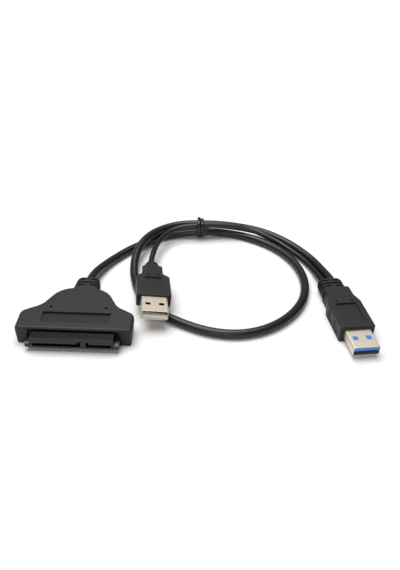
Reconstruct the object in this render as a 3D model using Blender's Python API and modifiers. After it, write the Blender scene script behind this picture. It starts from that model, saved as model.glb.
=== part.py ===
# Adapter lead: a 22-pin SATA socket in a bell-shaped moulded housing, one thick cord to a USB 3.0
# plug, and a thin cord from that plug to a USB 2.0 plug for extra power. The slack is looped once.
# Metres, +Z up. The origin is under the middle of the SATA head, whose socket faces -Y.

import math

import bmesh
import bpy
import numpy as np
from mathutils import Matrix

MM = 0.001
GAP = 0.3 * MM                          # clearance between pieces that touch

# SATA head
HEAD_WIDTH = 50.6 * MM
HEAD_HEIGHT = 9.0 * MM
HEAD_FRONT_Y = -18.9 * MM
HEAD_BELL = [(-6.5, 25.3, 4.0, 4), (-1.2, 17.1, 9.0, 4), (10.8, 11.3, 11.0, 5), (13.0, 3.5, 12.0, 1)]
HEAD_BOTTOM_INSET = 0.5 * MM
HEAD_PARTING_Z = 6.6 * MM
HEAD_EDGE = 1.2 * MM
HEAD_CAVITY = [(-17.6, 20.8), (-7.6, 20.8), (-2.0, 14.6), (6.4, 11.6), (8.4, 5.0)]
HEAD_CAVITY_Z = (1.5 * MM, 7.6 * MM)
MOUTH_SIZE = (41.0 * MM, 3.0 * MM, 6.8 * MM)
MOUTH_Z = 4.6 * MM
RECESS_HALF = 15.0 * MM
RECESS_BACK_Y = -7.1 * MM
RECESS_FRONT_Y = -14.6 * MM
RECESS_DEPTH = 0.9 * MM
PIP_X = 12.3 * MM
PIP_Y = -3.4 * MM
PIP_RADIUS = 0.5 * MM
SATA_RELIEF = [(12.0, 6.6, 3.5, 2.6), (16.3, 6.3, 3.4, 2.6), (19.3, 5.9, 3.25, 2.6), (22.8, 5.3, 3.05, 2.5),
               (23.4, 4.9, 2.8, 2.3), (23.75, 4.2, 2.5, 2.1)]
SATA_GROOVES = [(16.6, 6.25, 3.37, True), (19.0, 5.95, 3.26, False), (21.4, 5.55, 3.13, True)]

# SATA socket
NOSE_TIP_Y = -23.75 * MM
NOSE_WIDTH = 35.7 * MM
NOSE_BOTTOM_Z = 2.2 * MM
FLANGE_Z = (1.8 * MM, 7.3 * MM)
FLANGE_FRONT_Y = -17.85 * MM
FLANGE_DEPTH = 3.4 * MM
NOSE_HEIGHT = 5.1 * MM
ARM_OUTER = 40.4 * MM
ARM_WIDTH = 2.1 * MM
ARM_HEIGHT = 3.6 * MM
SLOT_HALF = 16.8 * MM
SLOT_BOTTOM_Z = 2.95 * MM
SLOT_HEIGHT = 1.4 * MM
SLOT_DEPTH = 6.4 * MM
SLOT_RIB_X = 4.85 * MM                  # middle of the rib between the power and signal slots
SLOT_RIB_WIDTH = 2.4 * MM
KEY_WIDTH = 1.15 * MM
KEY_RISE = 1.1 * MM
PIN_PITCH = 1.27 * MM
POWER_PINS = 15
SIGNAL_PINS = 7
POWER_FIRST_X = -15.6 * MM
SIGNAL_FIRST_X = 8.1 * MM
PIN_WIDTH = 0.6 * MM
PIN_THICKNESS = 0.25 * MM
PIN_CLEARANCE = 0.15 * MM
CONTACT_Y = (-22.5 * MM, -10.4 * MM)
CONTACT_Z = SLOT_BOTTOM_Z + SLOT_HEIGHT - PIN_CLEARANCE - PIN_THICKNESS / 2

# Circuit board
BOARD_OUTLINE = [(-14.2, 20.0), (-8.0, 20.0), (-2.4, 13.9), (5.8, 11.0)]
BOARD_BOTTOM_Z = 2.6 * MM
BOARD_TOP_Z = 3.6 * MM

# Cords
ENTRY_GAP = 0.15 * MM
MAIN_DIAMETER = 4.2 * MM
POWER_DIAMETER = 2.9 * MM
MAIN_SPACING = 7.0 * MM
POWER_SPACING = 5.5 * MM
MAIN_ROUTE = [
    (0.3, 18, 4.4), (0.5, 25, 4.4), (1.5, 30.9, 4.05), (4.1, 39.1, 3.1), (11.9, 52.9, 2.2),
    (14.9, 56.9, 2.2), (22.1, 64.8, 2.2), (30.3, 72.1, 2.2), (38.9, 76.8, 2.2), (47.8, 78.4, 2.9),
    (55.6, 78.5, 3.6), (65.7, 80.1, 2.5), (79.1, 76.8, 2.2), (87.7, 71.7, 2.2), (96.8, 62.8, 2.2),
    (103.3, 51, 2.2), (106.3, 36.5, 2.2), (104, 19, 2.2), (94, 2.2, 2.2), (83.5, -6.2, 2.2),
    (71.5, -10.1, 2.2), (57.5, -8.6, 2.2), (43.2, -1.7, 2.2), (31, 7.9, 2.2), (24.5, 20.7, 2.2),
    (20.6, 38, 3.3), (21.1, 52.3, 5.6), (26.9, 67.4, 6.8), (34.5, 75.7, 6.7), (43.2, 80.1, 6.8),
    (52.1, 81, 7.1), (61, 81.5, 6.9), (74.6, 81.9, 5.6), (88, 79.6, 4.1), (98.8, 73.4, 2.9),
    (108.6, 62.1, 2.3), (113.8, 52.5, 2.3), (117.1, 41.6, 3.3), (118.85, 35, 3.95), (120.4, 26.3, 4),
]
POWER_ROUTE = [
    (116.2, 25.6, 4), (115.55, 29.9, 4), (114.6, 34.5, 3.8), (112, 46.5, 2.2), (107.9, 56.2, 2),
    (102.3, 64.2, 2.3), (96.3, 70.2, 3.3), (90.9, 73.3, 4.6), (86.5, 75.5, 5.6), (81, 77.9, 6.4),
    (74.3, 78.5, 7.5), (65.4, 77.9, 8.3), (56.5, 76.7, 8.7), (52.1, 76, 8.7), (47.7, 75.5, 8.4),
    (43.3, 74.7, 8), (38.2, 72.3, 7.3), (34, 66.5, 6.9), (31.6, 61.3, 6.6), (30, 54.2, 6.4),
    (29.2, 46.3, 6.2), (28.95, 41.9, 5.8), (29.17, 38.83, 5.9), (29.39, 36.85, 6.01),
    (29.73, 33.87, 6.19),
]
TIE_MIDDLE_X = 53.5 * MM
TIE_BAND = 3.8 * MM
TIE_THICKNESS = 0.9 * MM
TIE_CLEARANCE = 0.4 * MM

# USB plugs, each in its own frame: tip towards -Y, overmould's front face at y = 0, z = 0 mid-height
SHELL_WIDTH = 12.0 * MM
SHELL_HEIGHT = 4.5 * MM
SHELL_WALL = 0.3 * MM
SHELL_TIP_Y = -12.1 * MM
SHELL_REAR_Y = 6.4 * MM
SHELL_WINDOW_X = 3.05 * MM
SHELL_WINDOW_WIDTH = 2.3 * MM
USB3_WINDOW_Y = (-6.9 * MM, -4.3 * MM)
USB2_WINDOW_Y = (-6.9 * MM, -4.9 * MM)
TONGUE_THICKNESS = 1.84 * MM
USB3_PLACE = (124.5 * MM, -9.24 * MM, 4.0 * MM)
USB3_YAW = math.radians(8.7)
USB3_WIDTH = 16.0 * MM
USB3_HEIGHT = 8.0 * MM
USB3_RELIEF = [(30.0, 6.2, 3.5, 2.6), (36.0, 6.1, 3.4, 2.6), (39.6, 5.8, 3.2, 2.5), (40.3, 5.4, 2.9, 2.3),
               (40.6, 4.8, 2.6, 2.1)]
USB3_GROOVES = [(33.4, 6.15, 3.44, True), (35.7, 6.1, 3.4, False), (38.0, 5.93, 3.3, True)]
USB2_PLACE = (32.95 * MM, 5.1 * MM, 7.9 * MM)
USB2_TURN = (math.radians(-3.4), math.radians(6.6), math.radians(6.0))
USB2_WIDTH = 15.9 * MM
USB2_HEIGHT = 6.7 * MM
USB2_RELIEF = [(26.0, 3.5, 3.0, 2.2), (31.2, 3.4, 2.9, 2.2), (32.6, 3.0, 2.7, 2.2), (33.4, 2.5, 2.3, 1.9),
               (33.7, 2.1, 2.0, 1.6)]
USB2_GROOVES = [(31.0, 3.4, 2.9, True)]
OVERMOULD_EDGE = 0.55 * MM
USB3_RELIEF_X = -0.6 * MM
USB3_MAIN_X = 1.32 * MM
USB3_POWER_X = -2.95 * MM
RELIEF_BRIDGE = 2.4 * MM                # what each broken ring groove leaves standing

BLACK_PVC = ("black_pvc", (0.030, 0.030, 0.031), 0.55, 0.0)
BLACK_SOCKET = ("black_socket_plastic", (0.022, 0.022, 0.023), 0.35, 0.0)
NICKEL = ("nickel_plate", (0.72, 0.68, 0.62), 0.28, 1.0)
GOLD = ("gold_plate", (0.83, 0.61, 0.28), 0.25, 1.0)
BLUE = ("blue_plastic", (0.02, 0.16, 0.62), 0.40, 0.0)
WHITE = ("white_plastic", (0.78, 0.77, 0.74), 0.45, 0.0)
BOARD_GREEN = ("board_laminate", (0.02, 0.12, 0.05), 0.40, 0.0)
TIN = ("tinned_metal", (0.60, 0.60, 0.58), 0.35, 1.0)
EPOXY = ("black_epoxy", (0.02, 0.02, 0.02), 0.45, 0.0)
CERAMIC = ("ceramic_chip", (0.45, 0.33, 0.20), 0.50, 0.0)


def clear_scene():
    for old in list(bpy.data.objects):
        bpy.data.objects.remove(old, do_unlink=True)


def new_collection(name):
    collection = bpy.data.collections.new(name)
    bpy.context.scene.collection.children.link(collection)
    return collection


clear_scene()
PARTS = new_collection("usb_to_sata_adapter")
CUTTERS = new_collection("cutters")
MATERIALS = {}


def make_material(look):
    """One Principled material per kind of surface, made on first use."""
    if look not in MATERIALS:
        name, colour, roughness, metallic = look
        material = bpy.data.materials.new(name)
        material.use_nodes = True
        shader = material.node_tree.nodes["Principled BSDF"]
        shader.inputs["Base Color"].default_value = (*colour, 1.0)
        shader.inputs["Roughness"].default_value = roughness
        shader.inputs["Metallic"].default_value = metallic
        MATERIALS[look] = material
    return MATERIALS[look]


def make_object(name, mesh_data, look, parent=None):
    part = bpy.data.objects.new(name, mesh_data)
    PARTS.objects.link(part)
    part.data.materials.append(make_material(look))
    part.parent = parent
    return part


def make_cutter(name, bm, parent=None):
    cutter = bpy.data.objects.new(name, mesh_from(bm, name))
    cutter.hide_render = True
    cutter.display_type = "WIRE"
    cutter.parent = parent
    CUTTERS.objects.link(cutter)
    return cutter


def mesh_from(bm, name):
    bmesh.ops.recalc_face_normals(bm, faces=bm.faces)
    data = bpy.data.meshes.new(name)
    bm.to_mesh(data)
    bm.free()
    return data


def add_box(bm, size, centre):
    matrix = Matrix.Translation(centre) @ Matrix.Diagonal((*size, 1.0))
    bmesh.ops.create_cube(bm, size=1.0, matrix=matrix)
    return bm


def box(size, centre):
    return add_box(bmesh.new(), size, centre)


def rod(radius, depth, centre, axis="Z", sides=12):
    """A cylinder along one axis, closed at both ends."""
    turn = {"X": Matrix.Rotation(math.pi / 2, 4, "Y"), "Y": Matrix.Rotation(math.pi / 2, 4, "X"),
            "Z": Matrix.Identity(4)}[axis]
    bm = bmesh.new()
    bmesh.ops.create_cone(bm, cap_ends=True, segments=sides, radius1=radius, radius2=radius,
                          depth=depth, matrix=Matrix.Translation(centre) @ turn)
    return bm


def rounded_outline(corners):
    """Turn (x, y, radius, segments) corners into points, with an arc in place of each corner."""
    points = []
    count = len(corners)
    for index, (x, y, radius, segments) in enumerate(corners):
        here = np.array((x, y))
        before = np.array(corners[index - 1][:2]) - here
        after = np.array(corners[(index + 1) % count][:2]) - here
        before = before / np.linalg.norm(before)
        after = after / np.linalg.norm(after)
        half = math.acos(np.clip(before @ after, -1.0, 1.0)) / 2
        if radius <= 0.0:
            points.append((x, y))
            continue
        bisector = (before + after) / np.linalg.norm(before + after)
        centre = here + bisector * radius / math.sin(half)
        start = here + before * radius / math.tan(half) - centre
        end = here + after * radius / math.tan(half) - centre
        sweep = math.atan2(start[0] * end[1] - start[1] * end[0], start @ end)
        for step in range(segments + 1):
            angle = sweep * step / segments
            turn = np.array(((math.cos(angle), -math.sin(angle)), (math.sin(angle), math.cos(angle))))
            points.append(tuple(centre + turn @ start))
    return points


def mirrored(right_side):
    """Close a symmetric outline from its right half, listed front to back."""
    left_side = [(-x, y, radius, segments) for x, y, radius, segments in reversed(right_side)]
    return right_side + left_side


def inset_outline(points, distance):
    """Move each point of a closed outline inwards, or outwards by a negative distance."""
    loop = np.array(points)
    edges = np.roll(loop, -1, axis=0) - loop
    edges = edges / np.linalg.norm(edges, axis=1)[:, None]
    normals = np.stack((-edges[:, 1], edges[:, 0]), axis=1)
    area = np.sum(loop[:, 0] * np.roll(loop[:, 1], -1) - loop[:, 1] * np.roll(loop[:, 0], -1))
    corner = normals + np.roll(normals, 1, axis=0)
    corner = corner / np.sum(corner * normals, axis=1)[:, None]
    return loop + distance * math.copysign(1.0, area) * corner


def loft(rings):
    """Bridge closed rings with equal point counts, and cap both ends."""
    bm = bmesh.new()
    loops = [[bm.verts.new(point) for point in ring] for ring in rings]
    for lower, upper in zip(loops, loops[1:]):
        for index in range(len(lower)):
            after = (index + 1) % len(lower)
            bm.faces.new((lower[index], lower[after], upper[after], upper[index]))
    bm.faces.new(loops[0])
    bm.faces.new(loops[-1])
    return bm


def slab(outline, levels):
    """Stack an XY outline at (height, inset) levels."""
    rings = []
    for height, inset in levels:
        ring = inset_outline(outline, inset) if inset else outline
        rings.append([(x, y, height) for x, y in ring])
    return loft(rings)


def rounded_section(half_width, half_height, radius, segments=3):
    corners = [(half_width, -half_height, radius, segments), (half_width, half_height, radius, segments),
               (-half_width, half_height, radius, segments), (-half_width, -half_height, radius, segments)]
    return rounded_outline(corners)


def sleeve(stations, centre_x, centre_z):
    """Loft rounded sections along Y: each station is (y, half width, half height, corner radius)."""
    rings = []
    for y, half_width, half_height, radius in stations:
        ring = rounded_section(half_width, half_height, radius)
        rings.append([(x + centre_x, y, z + centre_z) for x, z in ring])
    return loft(rings)


def bevel(part, width, segments=2, angle=40.0):
    modifier = part.modifiers.new("edges", "BEVEL")
    modifier.width = width
    modifier.segments = segments
    modifier.limit_method = "ANGLE"
    modifier.angle_limit = math.radians(angle)
    modifier.use_clamp_overlap = True


def boolean(part, operation, other):
    modifier = part.modifiers.new(other.name, "BOOLEAN")
    modifier.operation = operation
    modifier.solver = "EXACT"
    modifier.object = other


def cut(part, name, bm):
    boolean(part, "DIFFERENCE", make_cutter(name, bm, part.parent))


def join(part, name, bm):
    boolean(part, "UNION", make_cutter(name, bm, part.parent))


def smooth_shade(part, angle=35.0):
    part.data.shade_smooth()
    part.data.set_sharp_from_angle(angle=math.radians(angle))


def smooth_curve(route, spacing):
    """Read a natural cubic curve through the route's points at even steps of about the spacing."""
    points = np.array(route) * MM
    knots = np.concatenate(([0.0], np.cumsum(np.linalg.norm(np.diff(points, axis=0), axis=1))))
    widths = np.diff(knots)
    count = len(points)
    system = np.eye(count)
    rise = np.zeros_like(points)
    for i in range(1, count - 1):
        system[i, i - 1:i + 2] = (widths[i - 1], 2 * (widths[i - 1] + widths[i]), widths[i])
        rise[i] = 6 * ((points[i + 1] - points[i]) / widths[i] - (points[i] - points[i - 1]) / widths[i - 1])
    bend = np.linalg.solve(system, rise)
    samples = []
    for at in np.linspace(0.0, knots[-1], round(knots[-1] / spacing) + 1):
        i = min(np.searchsorted(knots, at, side="right") - 1, count - 2)
        width, near, far = widths[i], knots[i + 1] - at, at - knots[i]
        samples.append((bend[i] * near ** 3 + bend[i + 1] * far ** 3) / (6 * width)
                       + (points[i] / width - bend[i] * width / 6) * near
                       + (points[i + 1] / width - bend[i + 1] * width / 6) * far)
    return samples


def cord(name, points, diameter, resolution, look, parent=None):
    """A round tube along points, as a curve with a bevel and filled caps."""
    curve = bpy.data.curves.new(name, "CURVE")
    curve.dimensions = "3D"
    curve.bevel_depth = diameter / 2
    curve.bevel_resolution = resolution
    curve.use_fill_caps = True
    curve.resolution_u = 1
    curve.render_resolution_u = 0
    spline = curve.splines.new("POLY")
    spline.points.add(len(points) - 1)
    for control, point in zip(spline.points, points):
        control.co = (*point, 1.0)
    return make_object(name, curve, look, parent)


def sata_housing():
    """Moulded bell with a ringed strain relief, hollow where the socket and board sit."""
    right = [(HEAD_WIDTH / 2, HEAD_FRONT_Y, 1.6 * MM, 3)]
    right += [(x * MM, y * MM, radius * MM, segments) for y, x, radius, segments in HEAD_BELL]
    outline = rounded_outline(mirrored(right))
    levels = [(0.0, HEAD_BOTTOM_INSET + 0.5 * MM), (0.5 * MM, HEAD_BOTTOM_INSET), (HEAD_PARTING_Z, 0.0),
              (HEAD_HEIGHT - HEAD_EDGE, 0.1 * MM), (HEAD_HEIGHT - 0.35 * HEAD_EDGE, 0.35 * HEAD_EDGE),
              (HEAD_HEIGHT, HEAD_EDGE)]
    part = make_object("sata_housing", mesh_from(slab(outline, levels), "sata_housing"), BLACK_PVC)
    ringed_relief(part, (MAIN_ROUTE[0][0] * MM, MAIN_ROUTE[0][2] * MM), SATA_RELIEF, SATA_GROOVES)
    cut(part, "ramp_window", sata_window())
    for side in (-1, 1):
        cut(part, f"pip_{side}", rod(PIP_RADIUS, 0.7 * MM, (side * PIP_X, PIP_Y, HEAD_HEIGHT), sides=8))
    cut(part, "mouth", box(MOUTH_SIZE, (0.0, HEAD_FRONT_Y, MOUTH_Z)))
    cavity = rounded_outline(mirrored([(x * MM, y * MM, 0, 0) for y, x in HEAD_CAVITY]))
    cut(part, "cavity", slab(cavity, [(HEAD_CAVITY_Z[0], 0.0), (HEAD_CAVITY_Z[1], 0.0)]))
    entry_at = (MAIN_ROUTE[0][0] * MM, 16.0 * MM, MAIN_ROUTE[0][2] * MM)
    cut(part, "cord_entry", rod(MAIN_DIAMETER / 2 + ENTRY_GAP, 18.0 * MM, entry_at, "Y", 20))
    smooth_shade(part)
    return part


def sata_window():
    """Wedge over the label window: deepest along its back edge, fading out towards the socket."""
    corners = [(RECESS_HALF, RECESS_FRONT_Y), (RECESS_HALF, RECESS_BACK_Y),
               (-RECESS_HALF, RECESS_BACK_Y), (-RECESS_HALF, RECESS_FRONT_Y)]
    sills = (0.1 * MM, -RECESS_DEPTH, -RECESS_DEPTH, 0.1 * MM)
    lower = [(x, y, HEAD_HEIGHT + sill) for (x, y), sill in zip(corners, sills)]
    upper = [(x, y, HEAD_HEIGHT + 1.0 * MM) for x, y in corners]
    return loft([lower, upper])


def ringed_relief(part, middle, stations, grooves):
    """Tapered relief with ring grooves, each bridged on its broad faces if split, or else at its sides."""
    centre_x, centre_z = middle
    profile = []
    for y, half_width, half_height, corner in stations:
        profile.append((y * MM, half_width * MM, half_height * MM, corner * MM))
    join(part, f"{part.name}_relief", sleeve(profile, centre_x, centre_z))
    for index, (y, half_width, half_height, split) in enumerate(grooves):
        depth = 0.75 * MM
        floor = rounded_section(half_width * MM - depth, half_height * MM - depth, 1.6 * MM)
        rim = rounded_section(half_width * MM + depth, half_height * MM + depth, 3.1 * MM)
        cut(part, f"{part.name}_groove_{index}", ring_band(floor, rim, y * MM, 0.7 * MM, middle))
        reach = (half_width * MM - 0.12 * MM, half_height * MM - 0.12 * MM)
        across = RELIEF_BRIDGE if split else 2 * reach[0]
        upright = 2 * reach[1] if split else 0.5 * RELIEF_BRIDGE
        join(part, f"{part.name}_bridge_{index}",
             box((across, 0.9 * MM, upright), (centre_x, y * MM, centre_z)))


def ring_band(floor, rim, y, width, middle):
    """Closed band round the Y axis, between an inner and an outer section with equal point counts."""
    bm = bmesh.new()
    rings = []
    for section, side in ((floor, -1), (rim, -1), (rim, 1), (floor, 1)):
        at = y + side * width / 2
        rings.append([bm.verts.new((x + middle[0], at, z + middle[1])) for x, z in section])
    for ring, following in zip(rings, rings[1:] + rings[:1]):
        for index in range(len(ring)):
            after = (index + 1) % len(ring)
            bm.faces.new((ring[index], ring[after], following[after], following[index]))
    return bm


def socket_slot(low_x, high_x, key_x):
    """The two boxes of an L-shaped slot: the tongue's opening, and the key that rises at one end."""
    depth = SLOT_DEPTH + 1.0 * MM
    centre_y = NOSE_TIP_Y - 1.0 * MM + depth / 2
    middle_z = SLOT_BOTTOM_Z + SLOT_HEIGHT / 2
    slot = box((high_x - low_x, depth, SLOT_HEIGHT), ((low_x + high_x) / 2, centre_y, middle_z))
    key_height = KEY_RISE + SLOT_HEIGHT / 2
    key = box((KEY_WIDTH, depth, key_height), (key_x, centre_y, middle_z + key_height / 2))
    return slot, key


def sata_connector_body():
    """Black socket: keyed nose, guide arms at both ends, and the flange inside the housing's mouth."""
    nose_depth = 9.0 * MM
    nose = (NOSE_WIDTH, nose_depth, NOSE_HEIGHT)
    nose_centre = (0.0, NOSE_TIP_Y + nose_depth / 2, NOSE_BOTTOM_Z + NOSE_HEIGHT / 2)
    part = make_object("sata_connector_body", mesh_from(box(nose, nose_centre), "socket"), BLACK_SOCKET)
    bevel(part, 0.25 * MM, 1)
    flange = (ARM_OUTER, FLANGE_DEPTH, FLANGE_Z[1] - FLANGE_Z[0])
    join(part, "flange", box(flange, (0.0, FLANGE_FRONT_Y + FLANGE_DEPTH / 2, sum(FLANGE_Z) / 2)))
    for side in (-1, 1):
        arm_x = side * (ARM_OUTER / 2 - ARM_WIDTH / 2)
        arm = (ARM_WIDTH, 6.4 * MM, ARM_HEIGHT)
        join(part, f"arm_{side}", box(arm, (arm_x, NOSE_TIP_Y + 3.4 * MM, NOSE_BOTTOM_Z + ARM_HEIGHT / 2)))
    rib_low = SLOT_RIB_X - SLOT_RIB_WIDTH / 2
    rib_high = SLOT_RIB_X + SLOT_RIB_WIDTH / 2
    power, power_key = socket_slot(-SLOT_HALF, rib_low, rib_low - KEY_WIDTH / 2)
    signal, signal_key = socket_slot(rib_high, SLOT_HALF, rib_high + KEY_WIDTH / 2)
    cut(part, "power_slot", power)
    cut(part, "power_key", power_key)
    cut(part, "signal_slot", signal)
    cut(part, "signal_key", signal_key)
    channels = bmesh.new()
    channel = (PIN_WIDTH + 2 * PIN_CLEARANCE, 12.0 * MM, PIN_THICKNESS + 2 * PIN_CLEARANCE)
    for x in sum(contact_places(), []):
        add_box(channels, channel, (x, NOSE_TIP_Y + 5.0 * MM + channel[1] / 2, CONTACT_Z))
    cut(part, "contact_channels", channels)


def contact_places():
    """The x of each contact: the power group, then the signal group past the rib."""
    power = [POWER_FIRST_X + index * PIN_PITCH for index in range(POWER_PINS)]
    signal = [SIGNAL_FIRST_X + index * PIN_PITCH for index in range(SIGNAL_PINS)]
    return power, signal


def socket_contact(name, x):
    """One strip that runs from under the slot's roof, through the flange, to its pad on the board."""
    length = CONTACT_Y[1] - CONTACT_Y[0]
    centre = (x, sum(CONTACT_Y) / 2, CONTACT_Z)
    strip = make_object(name, mesh_from(box((PIN_WIDTH, length, PIN_THICKNESS), centre), name), GOLD)
    bevel(strip, 0.06 * MM, 1)


def circuit_board():
    outline = rounded_outline(mirrored([(x * MM, y * MM, 0, 0) for y, x in BOARD_OUTLINE]))
    board = slab(outline, [(BOARD_BOTTOM_Z, 0.0), (BOARD_TOP_Z, 0.0)])
    return make_object("circuit_board", mesh_from(board, "board"), BOARD_GREEN)


def on_board(name, x, y, size, look):
    """A component on the board's top face, in millimetres."""
    width, depth, height = (value * MM for value in size)
    centre = (x * MM, y * MM, BOARD_TOP_Z + GAP + height / 2)
    part = make_object(name, mesh_from(box((width, depth, height), centre), name), look)
    bevel(part, 0.12 * MM, 1)


def conductors(name, middle, half_size, lobes, span_y, parent=None):
    """The cord's insulated conductors, as one lobed bundle along Y."""
    half_width, half_height = half_size
    outline = []
    for step in range(4 * lobes):
        angle = math.tau * step / (4 * lobes)
        swell = 1.0 + 0.12 * math.cos(lobes * angle)
        outline.append((middle[0] + half_width * swell * math.cos(angle),
                        middle[1] + half_height * swell * math.sin(angle)))
    rings = [[(x, y, z) for x, z in outline] for y in span_y]
    make_object(name, mesh_from(loft(rings), name), WHITE, parent)


def bundle_outline(circles, clearance):
    """Convex outline round (y, z, radius) circles, in order, as the tie is pulled round them."""
    points = []
    for y, z, radius in circles:
        for step in range(18):
            angle = math.tau * step / 18
            reach = radius + clearance
            points.append((y + reach * math.cos(angle), z + reach * math.sin(angle)))
    points.sort()
    outline = []
    for ordered in (points, points[::-1]):
        chain = []
        for point in ordered:
            while len(chain) > 1 and turn_of(chain[-2], chain[-1], point) <= 1e-12:
                chain.pop()
            chain.append(point)
        outline += chain[:-1]
    return outline


def turn_of(first, middle, last):
    return ((middle[0] - first[0]) * (last[1] - first[1])
            - (middle[1] - first[1]) * (last[0] - first[0]))


def cable_tie(main_points, power_points):
    """Two rounded turns, side by side, pulled tight round the three cord runs."""
    half = TIE_BAND / 2
    profile = [(-half, 0.0), (half, 0.0)]
    for middle in (half / 2, -half / 2):
        for degrees in (20, 60, 90, 120, 160):
            angle = math.radians(degrees)
            profile.append((middle + half / 2 * math.cos(angle), TIE_THICKNESS * math.sin(angle)))
    circles = []
    for x in (TIE_MIDDLE_X - half, TIE_MIDDLE_X, TIE_MIDDLE_X + half):
        circles += crossings(main_points, x, MAIN_DIAMETER / 2)
        circles += crossings(power_points, x, POWER_DIAMETER / 2)
    outline = bundle_outline(circles, TIE_CLEARANCE)
    bm = bmesh.new()
    rings = []
    for across, outward in profile:
        ring = inset_outline(outline, -outward) if outward else outline
        rings.append([bm.verts.new((TIE_MIDDLE_X + across, y, z)) for y, z in ring])
    for ring, following in zip(rings, rings[1:] + rings[:1]):
        for index in range(len(ring)):
            after = (index + 1) % len(ring)
            bm.faces.new((ring[index], ring[after], following[after], following[index]))
    return make_object("cable_tie", mesh_from(bm, "cable_tie"), BLACK_PVC)


def crossings(points, x, radius):
    """Where a cord passes the plane at x on the far side of the loop: (y, z, radius) circles."""
    found = []
    for near, far in zip(points, points[1:]):
        if (near[0] - x) * (far[0] - x) < 0 and near[1] > 60 * MM:
            share = (x - near[0]) / (far[0] - near[0])
            found.append((near[1] + share * (far[1] - near[1]), near[2] + share * (far[2] - near[2]), radius))
    return found


def plug_empty(name, place, turn):
    holder = bpy.data.objects.new(name, None)
    holder.location = place
    holder.rotation_euler = turn
    PARTS.objects.link(holder)
    return holder


def usb_shell(name, parent, window_y):
    """Folded nickel sleeve, open at both ends, with the two latch windows in each broad side."""
    outline = rounded_section(SHELL_WIDTH / 2, SHELL_HEIGHT / 2, 0.5 * MM, 2)
    bm = bmesh.new()
    loops = [[bm.verts.new((x, y, z)) for x, z in outline] for y in (SHELL_TIP_Y, SHELL_REAR_Y)]
    for index in range(len(outline)):
        after = (index + 1) % len(outline)
        bm.faces.new((loops[0][index], loops[0][after], loops[1][after], loops[1][index]))
    part = make_object(name, mesh_from(bm, name), NICKEL, parent)
    wall = part.modifiers.new("wall", "SOLIDIFY")
    wall.thickness = SHELL_WALL
    wall.offset = -1.0
    for side in (-1, 1):
        window = (SHELL_WINDOW_WIDTH, window_y[1] - window_y[0], 2 * SHELL_HEIGHT)
        cut(part, f"{name}_window_{side}", box(window, (side * SHELL_WINDOW_X, sum(window_y) / 2, 0.0)))
    return part


def usb_insulator(name, parent, look, side):
    """Plastic tongue against one broad wall of the shell, with its thicker block at the rear."""
    inner_half = SHELL_HEIGHT / 2 - SHELL_WALL - GAP / 2
    thickness = TONGUE_THICKNESS
    width = SHELL_WIDTH - 2 * SHELL_WALL - GAP
    front = SHELL_TIP_Y + 0.35 * MM
    rear = SHELL_REAR_Y - 0.4 * MM
    tongue_z = side * (inner_half - thickness / 2)
    part = make_object(name, mesh_from(box((width, rear - front, thickness),
                                           (0.0, (front + rear) / 2, tongue_z)), name), look, parent)
    block = box((width, 6.0 * MM, 2 * inner_half), (0.0, rear - 3.0 * MM, 0.0))
    join(part, f"{name}_block", block)
    return part


def usb_contacts(name, parent, side, columns, front_y, length, lift=0.0):
    """Contact strips over the tongue's face, one object per column."""
    inner_half = SHELL_HEIGHT / 2 - SHELL_WALL - GAP / 2
    height = side * (inner_half - TONGUE_THICKNESS - GAP - 0.1 * MM - lift)
    for index, x in enumerate(columns):
        strip = box((1.0 * MM, length, 0.2 * MM), (x * MM, front_y + length / 2, height))
        contact = f"{name}_{index + 1}"
        make_object(contact, mesh_from(strip, contact), GOLD, parent)


def plug_overmould(name, parent, right, height, window, pips):
    """Moulded grip: shouldered outline, shallow window, two tooling pips and the bore for the shell."""
    outline = rounded_outline(mirrored(right))
    half = height / 2
    edge = OVERMOULD_EDGE
    levels = [(-half, edge), (-half + 0.3 * edge, 0.3 * edge), (-half + edge, 0.0),
              (half - edge, 0.0), (half - 0.3 * edge, 0.3 * edge), (half, edge)]
    part = make_object(name, mesh_from(slab(outline, levels), name), BLACK_PVC, parent)
    window_half, front_y, back_y = window
    size = (2 * window_half, back_y - front_y, 0.9 * MM)
    cut(part, f"{name}_window", box(size, (0.0, (front_y + back_y) / 2, half)))
    for index, x in enumerate(pips):
        cut(part, f"{name}_pip_{index}", rod(0.45 * MM, 0.7 * MM, (x, back_y + 2.1 * MM, half), sides=8))
    bore = (SHELL_WIDTH + 2 * GAP, 2 * (SHELL_REAR_Y + GAP), SHELL_HEIGHT + 2 * GAP)
    cut(part, f"{name}_bore", box(bore, (0.0, 0.0, 0.0)))
    return part


def plug_hollow(part, chamber, entries):
    """Space behind the shell for the conductors, and one round entry for each cord."""
    half_width, half_height, rear_y, end_y = chamber
    size = (2 * half_width, rear_y - SHELL_REAR_Y, 2 * half_height)
    cut(part, f"{part.name}_chamber", box(size, (0.0, (rear_y + SHELL_REAR_Y) / 2, 0.0)))
    for index, (x, radius) in enumerate(entries):
        length = end_y - rear_y + 2.0 * MM
        cut(part, f"{part.name}_entry_{index}",
            rod(radius, length, (x, rear_y - 1.0 * MM + length / 2, 0.0), "Y", 16))
    smooth_shade(part)


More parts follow.
